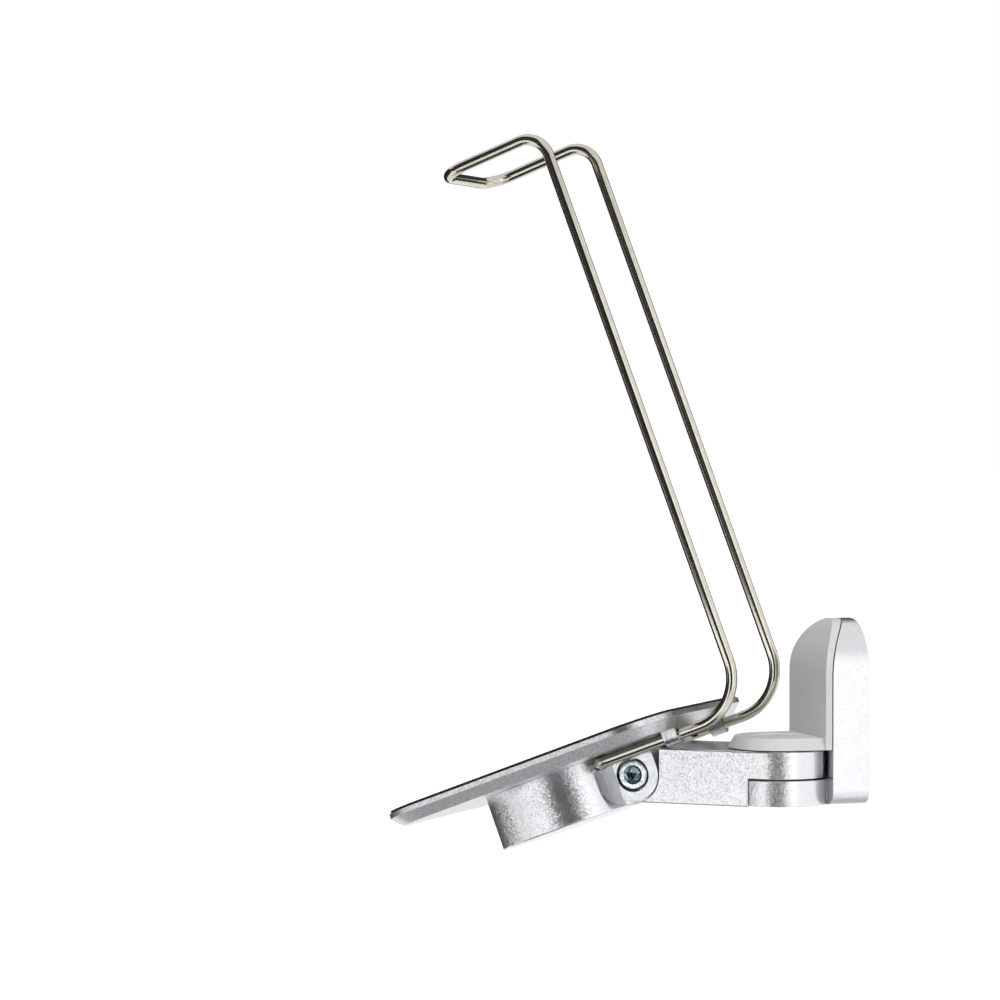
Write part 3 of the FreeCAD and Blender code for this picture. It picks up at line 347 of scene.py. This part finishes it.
# Painted shade down in the socket: a darker blue green that stands in for the dark inside of the recess
SOCKET_SHADE_FINISH = Mottled("blue_zinc_in_socket", "B4CCD0", "31464B", grain_mm=0.9, roughness=0.12)
# Flanks of the neck: greyer than the paint, as painted shade for the dark grey between the ear and the hub, with
# fine upright streaks about a fifth of a millimetre apart
FLANK_SHADE_FINISH = Mottled(
    "neck_flank_painted_shade", "C2C3C6", "A0A1A4", grain_mm=0.22, roughness=0.32, strength=0.25, stretch=(1.0, 1.0, 12.0)
)


# Mesh tools

@dataclass(frozen=True)
class Axes:
    """A frame of the bracket: an origin and three directions."""

    origin: Vector
    x: Vector
    y: Vector
    z: Vector

    def point(self, x: float, y: float, z: float) -> Vector:
        """Gives the place of a point that is stated in this frame in millimetres."""
        return self.origin + (self.x * x + self.y * y + self.z * z) * MM


def head_axes() -> Axes:
    """Reads the head's frame from the tilt joint and the seat on the base plate.

    Returns:
        The frame: its origin at the tilt pivot, x away from the wall along the base plate, z square to it.
    """
    tilt = next(joint for joint in frame["joints"] if joint["name"] == "tilt")
    seat = next(mount for mount in frame["record"]["mounts"] if mount["name"] == "speaker_seat")
    across = Vector(tilt["axis"]).normalized()
    upward = Vector(seat["axis"]).normalized()
    return Axes(Vector(tilt["pos_m"]), across.cross(upward), across, upward)


def add_object(name: str, data: bpy.types.ID) -> bpy.types.Object:
    """Puts a new object into the scene.

    Args:
        name: The object's name.
        data: Its mesh, camera or light.

    Returns:
        The object.
    """
    piece = bpy.data.objects.new(name, data)
    bpy.context.scene.collection.objects.link(piece)
    return piece


class Skin:
    """A mesh that grows ring by ring in a frame of the bracket."""

    def __init__(self, axes: Axes) -> None:
        """Starts an empty mesh.

        Args:
            axes: The frame that its points are stated in.
        """
        self.axes = axes
        self.mesh = bmesh.new()
        self.last: list[bmesh.types.BMVert] = []

    def ring(self, spots: Sequence[tuple[float, float, float]], slot: int = FIRST_FINISH) -> None:
        """Adds a ring of points in millimetres and joins it to the ring before it.

        Args:
            spots: The points of the ring, as many as in the ring before.
            slot: The number of the material on the faces between the two rings.
        """
        ring = [self.mesh.verts.new(self.axes.point(*spot)) for spot in spots]
        if self.last:
            count = len(ring)
            for number in range(count):
                following = (number + 1) % count
                face = self.mesh.faces.new((self.last[number], self.last[following], ring[following], ring[number]))
                face.material_index = slot
        else:
            self.mesh.faces.new(ring[::-1])
        self.last = ring

    def close(self, slot: int = FIRST_FINISH) -> None:
        """Closes the mesh over its last ring, in the material of that number."""
        self.mesh.faces.new(self.last).material_index = slot

    def make_object(
        self, name: str, materials: Sequence[bpy.types.Material], sharp_degrees: float = SHARP_DEGREES
    ) -> bpy.types.Object:
        """Turns the mesh into an object with smooth faces and sharp corners.

        Args:
            name: The object's name.
            materials: Its materials, in the order of their numbers.
            sharp_degrees: The angle between faces above which an edge stays sharp.

        Returns:
            The object, linked to the scene.
        """
        bmesh.ops.recalc_face_normals(self.mesh, faces=self.mesh.faces[:])
        for face in self.mesh.faces:
            face.smooth = True
        for edge in self.mesh.edges:
            edge.smooth = edge.calc_face_angle(0.0) < math.radians(sharp_degrees)
        data = bpy.data.meshes.new(name)
        self.mesh.to_mesh(data)
        self.mesh.free()
        for material in materials:
            data.materials.append(material)
        return add_object(name, data)


def bent_line(corners: Sequence[Vector], radii: Sequence[float], step_degrees: float) -> list[Vector]:
    """Draws a line through corners, with each inner corner bent to its own radius.

    Args:
        corners: The ends of the line and its corners.
        radii: One bend radius for each inner corner.
        step_degrees: The most that the line turns from one point to the next.

    Returns:
        The points of the line.
    """
    points = [corners[0]]
    for before, corner, after, radius in zip(corners, corners[1:], corners[2:], radii):
        back = (before - corner).normalized()
        ahead = (after - corner).normalized()
        half_angle = back.angle(ahead) / 2
        reach = radius / math.tan(half_angle)
        centre = corner + (back + ahead).normalized() * (radius / math.sin(half_angle))
        arm = corner + back * reach - centre
        axis = arm.cross(corner + ahead * reach - centre).normalized()
        turn = math.pi - 2 * half_angle
        steps = math.ceil(math.degrees(turn) / step_degrees)
        for number in range(steps + 1):
            points.append(centre + Quaternion(axis, turn * number / steps) @ arm)
    points.append(corners[-1])
    return points


# Sub-assemblies

@dataclass
class SubAssembly:
    """Pieces that move together, with the finishes that they are dressed in."""

    finishes: dict[Slot, bpy.types.Material]
    body: Body = Body.WALL_MOUNT
    nodes: tuple[str, ...] = ()

    def build(self) -> None:
        """Builds and dresses the sub-assembly."""
        self.dress_nodes()

    def dress_nodes(self) -> None:
        """Gives each solid of the sub-assembly the finish that the record names for it."""
        slots = {part["node"]: Slot(part["material_slot"]) for part in frame["record"]["subparts"]}
        for node in self.nodes:
            piece = frame["nodes"][node]
            piece.data.materials.clear()
            piece.data.materials.append(self.finishes[slots[node]])
            LOG.info("%s: dressed %s in %s", self.body.value, node, slots[node].value)

    def settle(self, piece: bpy.types.Object, slot: Slot, node: str) -> None:
        """Lets a finer piece ride on the body in place of a solid.

        Args:
            piece: The finer piece.
            slot: The slot of its finish. Not used.
            node: The solid that it stands for.
        """
        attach(piece, self.body.value)
        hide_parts(node)
        LOG.info("%s: built %s in place of %s", self.body.value, piece.name, node)


@dataclass
class WallMount(SubAssembly):
    """What stays on the wall: the cast plate with its lug, the moulded cover and the nut."""

    body: Body = Body.WALL_MOUNT
    nodes: tuple[str, ...] = ("wall_plate", "wall_cover", "swivel_nut", "swivel_friction_washer")


@dataclass
class Arm(SubAssembly):
    """What swivels: the cast arm and the screw that clamps it on the lug."""

    body: Body = Body.ARM
    nodes: tuple[str, ...] = ("swivel_arm", "swivel_bolt", "swivel_spring_washer", "swivel_washer")


@dataclass
class SocketScrew:
    """Sizes of the socket head screw through the ears, in millimetres."""

    # How far from the tilt pivot the seat lies that the screw's head rests on
    seat: float = 9.0
    head_radius: float = 4.25
    head_height: float = 5.0
    # Radius of the head's rounded top edge
    rim: float = 0.4
    shank_radius: float = 2.5
    shank_length: float = 22.8
    end_chamfer: float = 0.4
    under_head_chamfer: float = 0.2
    # Countersink round the socket, and how much it falls for each millimetre inwards
    lead_in_radius: float = 2.75
    lead_in_slope: float = 0.9
    key_width: float = 4.0
    key_depth: float = 2.5
    # Ledge round the drilled point at the foot of the socket, and the depth and the tip of that point
    drill_ledge: float = 0.25
    drill_depth: float = 0.7
    drill_tip: float = 0.1
    steps: int = 96
    rim_steps: int = 6

    def key_radius(self, angle: float) -> float:
        """Gives the distance from the axis to the wall of the six-sided socket at an angle."""
        sixth = FULL_TURN / 6
        return self.key_width / 2 / math.cos((angle + sixth / 2) % sixth - sixth / 2)

    def circle(self, radius: float, height: float) -> list[tuple[float, float, float]]:
        """Gives a ring of points round the axis."""
        angles = [FULL_TURN * number / self.steps for number in range(self.steps)]
        return [(radius * math.cos(a), radius * math.sin(a), height) for a in angles]

    def socket(self, height: float, slope: float = 0.0) -> list[tuple[float, float, float]]:
        """Gives a ring of points round the wall of the socket.

        Args:
            height: The height of the countersink's outer edge, or of the ring where there is no slope.
            slope: How much lower a point lies for each millimetre that it is inside the countersink's edge.

        Returns:
            The points.
        """
        spots = []
        for number in range(self.steps):
            angle = FULL_TURN * number / self.steps
            reach = self.key_radius(angle)
            spots.append((
                reach * math.cos(angle), reach * math.sin(angle), height - (self.lead_in_radius - reach) * slope,
            ))
        return spots

    def build(self, axes: Axes, material: bpy.types.Material) -> bpy.types.Object:
        """Builds the screw: chamfered end, shank, rounded head, countersunk six-sided socket.

        Args:
            axes: The screw's frame, its seat at the origin and its head along z.
            material: The finish.

        Returns:
            The screw.
        """
        skin = Skin(axes)
        top = self.head_height
        floor = top - self.key_depth
        skin.ring(self.circle(self.shank_radius - self.end_chamfer, -self.shank_length))
        skin.ring(self.circle(self.shank_radius, self.end_chamfer - self.shank_length))
        skin.ring(self.circle(self.shank_radius, 0.0))
        skin.ring(self.circle(self.head_radius - self.under_head_chamfer, 0.0))
        skin.ring(self.circle(self.head_radius, self.under_head_chamfer))
        for number in range(self.rim_steps + 1):
            angle = FULL_TURN / 4 * number / self.rim_steps
            radius = self.head_radius - self.rim + self.rim * math.cos(angle)
            skin.ring(self.circle(radius, top - self.rim + self.rim * math.sin(angle)))
        skin.ring(self.circle(self.lead_in_radius, top))
        # The socket's walls and floor take the darker socket finish, which is painted shade for the recess
        skin.ring(self.socket(top, self.lead_in_slope), SECOND_FINISH)
        skin.ring(self.socket(floor), SECOND_FINISH)
        skin.ring(self.circle(self.key_width / 2 - self.drill_ledge, floor), SECOND_FINISH)
        skin.ring(self.circle(self.drill_tip, floor - self.drill_depth), SECOND_FINISH)
        skin.close(SECOND_FINISH)
        return skin.make_object("tilt_bolt_turned", (material, SOCKET_SHADE_FINISH.make()))


@dataclass
class WireFrame:
    """Sizes of the bent retaining wire, in millimetres in the head's frame."""

    radius: float = 1.59
    half_spacing: float = 19.0
    # Height of the lower run, where its ends are along it and how near to the middle they reach
    level: float = 6.1
    entry: float = 7.5
    inner_end: float = 8.0
    # Where the legs stand, how far they rise and how far the crossbar stands away from them
    leg: float = -40.1
    rise: float = 172.9
    crossbar: float = 33.0
    # Radii of the bends, from an end of the wire to its top
    bends: tuple[float, ...] = (4.0, 14.3, 7.0, 8.0)
    sides: int = 28
    # The most that one stretch of the tube turns from the one before, and the angle of a sharp edge, in degrees
    bend_step: float = 4.5
    sharp_degrees: float = 60

    def build(self, axes: Axes, material: bpy.types.Material) -> bpy.types.Object:
        """Builds the wire as one smooth tube along its bent line.

        Args:
            axes: The head's frame.
            material: The finish.

        Returns:
            The wire.
        """
        top = self.level + self.rise
        half = [
            Vector((self.entry, self.inner_end, self.level)),
            Vector((self.entry, self.half_spacing, self.level)),
            Vector((self.leg, self.half_spacing, self.level)),
            Vector((self.leg, self.half_spacing, top)),
            Vector((self.leg + self.crossbar, self.half_spacing, top)),
        ]
        route = half + [Vector((spot.x, -spot.y, spot.z)) for spot in reversed(half)]
        line = bent_line(route, self.bends + self.bends[::-1], self.bend_step)
        skin = Skin(axes)
        heading = (line[1] - line[0]).normalized()
        side = heading.orthogonal().normalized()
        for number, spot in enumerate(line):
            behind = line[max(number - 1, 0)]
            ahead = line[min(number + 1, len(line) - 1)]
            course = (ahead - behind).normalized()
            side = (heading.rotation_difference(course) @ side).normalized()
            heading = course
            across = heading.cross(side)
            angles = [FULL_TURN * step / self.sides for step in range(self.sides)]
            skin.ring([tuple(spot + (side * math.cos(a) + across * math.sin(a)) * self.radius) for a in angles])
        skin.close()
        return skin.make_object("retaining_wire_bent", (material,), self.sharp_degrees)


@dataclass
class NeckSide:
    """Sizes of one side of the neck, whose round end reaches from the ear to the hub, in millimetres.

    The side view is a half round as large as the ear, further out by the stretch. Past the ear's flat face the
    flank flares outwards to the hub.
    """

    ear_radius: float = 7.65
    stretch: float = 3.0
    # How far the toe reaches up into the ear
    toe_lap: float = 0.4
    inner_y: float = 6.0
    ear_face: float = 14.17
    flare_start: float = 4.7
    flare_slope: float = 0.05
    flare_growth: float = 0.013
    flank_top: float = 4.3
    # Where along the neck its outline is drawn
    toe: tuple[float, ...] = (0.4, 1.0, 1.7, 2.4, 3.0, 3.6, 4.2, 4.7)
    flank: tuple[float, ...] = (4.7, 5.3, 5.8, 6.3, 6.8, 7.3, 7.8, 8.3, 8.7, 9.1, 9.5, 9.9, 10.2, 10.45, 10.6, 10.64)
    sharp_degrees: float = 40

    def toe_top(self, x: float) -> float:
        """Gives the height at which the toe ends inside the ear."""
        return self.toe_lap - math.sqrt(self.ear_radius ** 2 - x ** 2)

    def low(self, x: float) -> float:
        """Gives the height of the neck's underside."""
        return -math.sqrt(self.ear_radius ** 2 - max(x - self.stretch, 0.0) ** 2)

    def outer_y(self, x: float) -> float:
        """Gives how far out the flank lies."""
        run = max(x - self.flare_start, 0.0)
        return self.ear_face + self.flare_slope * run + self.flare_growth * run ** 2

    def build(self, axes: Axes, name: str, side: int, paint: bpy.types.Material) -> bpy.types.Object:
        """Builds the side: a toe under the ear, then the flank.

        Args:
            axes: The head's frame.
            name: The piece's name.
            side: 1 for the near side, -1 for the far one.
            paint: The finish of the toe.

        Returns:
            The side of the neck.
        """
        skin = Skin(axes)
        for stations, finish in ((self.toe, FIRST_FINISH), (self.flank, SECOND_FINISH)):
            skin.last = []
            for x in stations:
                top = self.toe_top(x) if finish == FIRST_FINISH else self.flank_top
                inner, outer = self.inner_y * side, self.outer_y(x) * side
                low = self.low(x)
                skin.ring([(x, inner, low), (x, outer, low), (x, outer, top), (x, inner, top)], finish)
            skin.close(finish)
        # The flank faces take the greyer flank finish, which is painted shade between the ear and the hub
        return skin.make_object(name, (paint, FLANK_SHADE_FINISH.make()), self.sharp_degrees)


@dataclass
class Head(SubAssembly):
    """What tilts: the cast head, the base plate with its pad, the wire and its clips."""

    body: Body = Body.HEAD
    nodes: tuple[str, ...] = (
        "tilt_head", "base_plate", "base_pad", "plate_screws", "wire_clip_near", "wire_clip_far", "clip_screws",
        "retaining_wire", "tilt_bolt", "tilt_nut", "tilt_washer_near", "tilt_washer_far",
    )
    screw: SocketScrew = field(default_factory=SocketScrew)
    wire: WireFrame = field(default_factory=WireFrame)
    neck: NeckSide = field(default_factory=NeckSide)

    def build(self) -> None:
        """Dresses the solids, builds the screw and the wire finer than they are, and adds the neck's sides."""
        self.dress_nodes()
        axes = head_axes()
        across = Axes(axes.point(0, self.screw.seat, 0), axes.x, -axes.z, axes.y)
        self.settle(self.screw.build(across, self.finishes[Slot.SCREW]), Slot.SCREW, "tilt_bolt")
        self.settle(self.wire.build(axes, self.finishes[Slot.WIRE]), Slot.WIRE, "retaining_wire")
        self.add_neck_sides(axes)

    def add_neck_sides(self, axes: Axes) -> None:
        """Lays the two sides of the neck over the cast head.

        Args:
            axes: The head's frame.
        """
        for name, side in (("neck_side_near", 1), ("neck_side_far", -1)):
            piece = self.neck.build(axes, name, side, self.finishes[Slot.CASTING])
            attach(piece, self.body.value)
            LOG.info("%s: built %s", self.body.value, name)


# Studio

@dataclass(frozen=True)
class Panel:
    """A panel that stands round the bracket and faces it. Only reflections show it."""

    name: str
    # Degrees round the bracket from the camera, to its right above zero, and degrees above its level
    turn: float
    rise: float
    # Distance from the middle of the bracket, width and height, in metres
    reach: float
    wide: float
    tall: float
    # How bright the panel is, where 1 is white
    glow: float
    # How far the panel leans over sideways, in degrees
    roll: float = 0.0


@dataclass(frozen=True)
class Lamp:
    """A broad lamp far off, which lights the floor and the bracket alike."""

    name: str
    # From the bracket to the lamp
    direction: tuple[float, float, float]
    strength: float
    # How wide it looks from the bracket, in degrees
    spread: float


@dataclass
class Studio:
    """White studio: an overhead lamp, lit panels beside the camera, dark ones between them, a pale floor."""

    # Where the camera stands, in metres, and how it is turned
    camera_place: tuple[float, float, float] = (0.9560, -0.3738, 0.0712)
    camera_right: tuple[float, float, float] = (0.27238, 0.96219, 0.0)
    camera_up: tuple[float, float, float] = (-0.01948, 0.00551, 0.99980)
    # Focal length in millimetres, and how far the camera sees, in metres
    lens: float = 129.96
    view_depth: float = 100.0
    floor_level: float = -0.36
    floor_size: float = 60.0
    floor_colour: str = "F0F0F0"
    # Light that the floor adds where it is seen, so that it comes out nearly white
    floor_fill: float = 0.32
    # Light that the room sheds on matt surfaces, where 1 is white
    room_level: float = 0.45
    lamps: tuple[Lamp, ...] = (
        Lamp("overhead_lamp", (0.25, -0.2, 0.95), strength=1.35, spread=35),
        Lamp("side_lamp", (0.9, 0.25, 0.35), strength=0.9, spread=50),
    )
    panels: tuple[Panel, ...] = (
        # Lit ones, for the white bands on the round forms and the sheen of the arm's flat side
        Panel("panel_left", turn=-54, rise=-2, reach=1.35, wide=1.4, tall=1.7, glow=1.8),
        Panel("panel_right", turn=80, rise=2, reach=1.35, wide=2.0, tall=1.7, glow=1.25),
        Panel("panel_strip", turn=30, rise=0, reach=1.5, wide=0.35, tall=1.7, glow=2.0),
        # Dark ones, for the grey bands between the white ones and the dark lines along the wire
        Panel("card_front", turn=-7, rise=0, reach=1.6, wide=1.0, tall=1.7, glow=0.02),
        Panel("card_low_left", turn=-35, rise=-57, reach=0.38, wide=0.42, tall=0.24, glow=0.04),
        Panel("card_left", turn=-63, rise=25, reach=0.65, wide=0.95, tall=0.95, glow=0.04, roll=17),
        Panel("card_back_left", turn=-134, rise=0, reach=0.8, wide=1.4, tall=0.8, glow=0.03),
        Panel("card_back", turn=165, rise=14, reach=1.2, wide=1.6, tall=1.1, glow=0.05),
        # A grey one below, for the faces that slant downwards
        Panel("card_below", turn=0, rise=-89, reach=0.38, wide=0.5, tall=0.5, glow=0.6),
    )

    def build(self) -> None:
        """Makes the camera, the floor, the world, the lamps and the panels."""
        bpy.context.scene.view_settings.view_transform = "Standard"
        self.make_camera()
        self.make_floor()
        self.make_world()
        for lamp in self.lamps:
            self.hang_lamp(lamp)
        for panel in self.panels:
            self.stand_panel(panel)

    def make_camera(self) -> None:
        """Sets the camera where the photograph was taken from."""
        data = bpy.data.cameras.new("camera")
        data.lens = self.lens
        data.sensor_width = SENSOR_WIDTH
        data.clip_end = self.view_depth
        camera = add_object("camera", data)
        right = Vector(self.camera_right).normalized()
        back = right.cross(Vector(self.camera_up)).normalized()
        up = back.cross(right)
        turn = Matrix((right, up, back)).transposed().to_4x4()
        camera.matrix_world = Matrix.Translation(self.camera_place) @ turn
        bpy.context.scene.camera = camera

    def plain_sheet(self, name: str, wide: float, tall: float) -> bpy.types.Object:
        """Makes a flat sheet that isn't part of the bracket.

        Args:
            name: Its name.
            wide: Its width in metres.
            tall: Its height in metres.

        Returns:
            The sheet, flat on its own x and y.
        """
        mesh = bpy.data.meshes.new(name)
        x, y = wide / 2, tall / 2
        mesh.from_pydata([(-x, -y, 0), (x, -y, 0), (x, y, 0), (-x, y, 0)], [], [(0, 1, 2, 3)])
        sheet = add_object(name, mesh)
        sheet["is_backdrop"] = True
        return sheet

    def open_view(self, tree: bpy.types.NodeTree) -> bpy.types.NodeSocket:
        """Adds nodes that give 1 where the camera, a reflection or a see-through surface looks, and else 0.

        Args:
            tree: The node tree.

        Returns:
            The socket that gives it.
        """
        path = add_node(tree, "ShaderNodeLightPath")
        seen = add_node(
            tree, "ShaderNodeMath", {"operation": "MAXIMUM"},
            in_0=path.outputs["Is Camera Ray"], in_1=path.outputs["Is Glossy Ray"],
        )
        either = add_node(
            tree, "ShaderNodeMath", {"operation": "MAXIMUM"},
            in_0=seen.outputs[0], in_1=path.outputs["Is Transmission Ray"],
        )
        return either.outputs[0]

    def make_floor(self) -> None:
        """Lays a plain pale floor that keeps the bracket's shadow."""
        floor = self.plain_sheet("floor", self.floor_size, self.floor_size)
        floor.location = (0.0, 0.0, self.floor_level)
        material, tree, output = new_material("pale_floor")
        level = add_node(tree, "ShaderNodeMapRange", Value=self.open_view(tree), To_Max=self.floor_fill)
        matt = add_node(tree, "ShaderNodeBsdfDiffuse", Color=linear(self.floor_colour))
        glow = add_node(tree, "ShaderNodeEmission", Color=linear(WHITE), Strength=level.outputs[0])
        total = add_node(tree, "ShaderNodeAddShader", in_0=matt.outputs[0], in_1=glow.outputs[0])
        tree.links.new(total.outputs[0], output.inputs[0])
        floor.data.materials.append(material)

    def make_world(self) -> None:
        """Lights the room evenly, and shows white to the camera and in reflections."""
        world = bpy.data.worlds.new("room")
        bpy.context.scene.world = world
        world.use_nodes = True
        tree = world.node_tree
        tree.nodes.clear()
        level = add_node(
            tree, "ShaderNodeMapRange", Value=self.open_view(tree), To_Min=self.room_level, To_Max=1.0
        )
        shade = add_node(tree, "ShaderNodeBackground", Color=linear(WHITE), Strength=level.outputs[0])
        output = tree.nodes.new("ShaderNodeOutputWorld")
        tree.links.new(shade.outputs[0], output.inputs[0])

    def hang_lamp(self, lamp: Lamp) -> None:
        """Hangs a lamp, which no reflection shows.

        Args:
            lamp: Where it hangs, its light and its spread.
        """
        data = bpy.data.lights.new(lamp.name, "SUN")
        data.energy = lamp.strength
        data.angle = math.radians(lamp.spread)
        light = add_object(lamp.name, data)
        light.rotation_euler = Vector(lamp.direction).to_track_quat("Z", "Y").to_euler()
        light.visible_glossy = False

    def stand_panel(self, panel: Panel) -> None:
        """Stands a panel round the bracket.

        Args:
            panel: Where it stands, its size and its glow.
        """
        low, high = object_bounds()
        middle = (Vector(low) + Vector(high)) / 2
        right = Vector(self.camera_right).normalized()
        away = right.cross(Vector((0, 0, 1)))
        turn = math.radians(panel.turn)
        rise = math.radians(panel.rise)
        level = away * math.cos(turn) + right * math.sin(turn)
        direction = level * math.cos(rise) + Vector((0, 0, math.sin(rise)))
        sheet = self.plain_sheet(panel.name, panel.wide, panel.tall)
        sheet.location = middle + direction * panel.reach
        facing = direction.to_track_quat("Z", "Y")
        sheet.rotation_euler = (facing @ Quaternion((0, 0, 1), math.radians(panel.roll))).to_euler()
        sheet.visible_camera = False
        sheet.visible_diffuse = False
        sheet.visible_shadow = False
        material, tree, output = new_material(panel.name)
        glow = add_node(tree, "ShaderNodeEmission", Color=linear(WHITE), Strength=panel.glow)
        tree.links.new(glow.outputs[0], output.inputs[0])
        sheet.data.materials.append(material)


def main() -> None:
    """Builds the bracket's looks, then the studio."""
    logging.basicConfig(level=logging.INFO)
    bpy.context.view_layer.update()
    finishes = {slot: finish.make() for slot, finish in FINISHES.items()}
    for assembly in (WallMount(finishes), Arm(finishes), Head(finishes)):
        assembly.build()
    Studio().build()


if __name__ == "__main__":
    main()
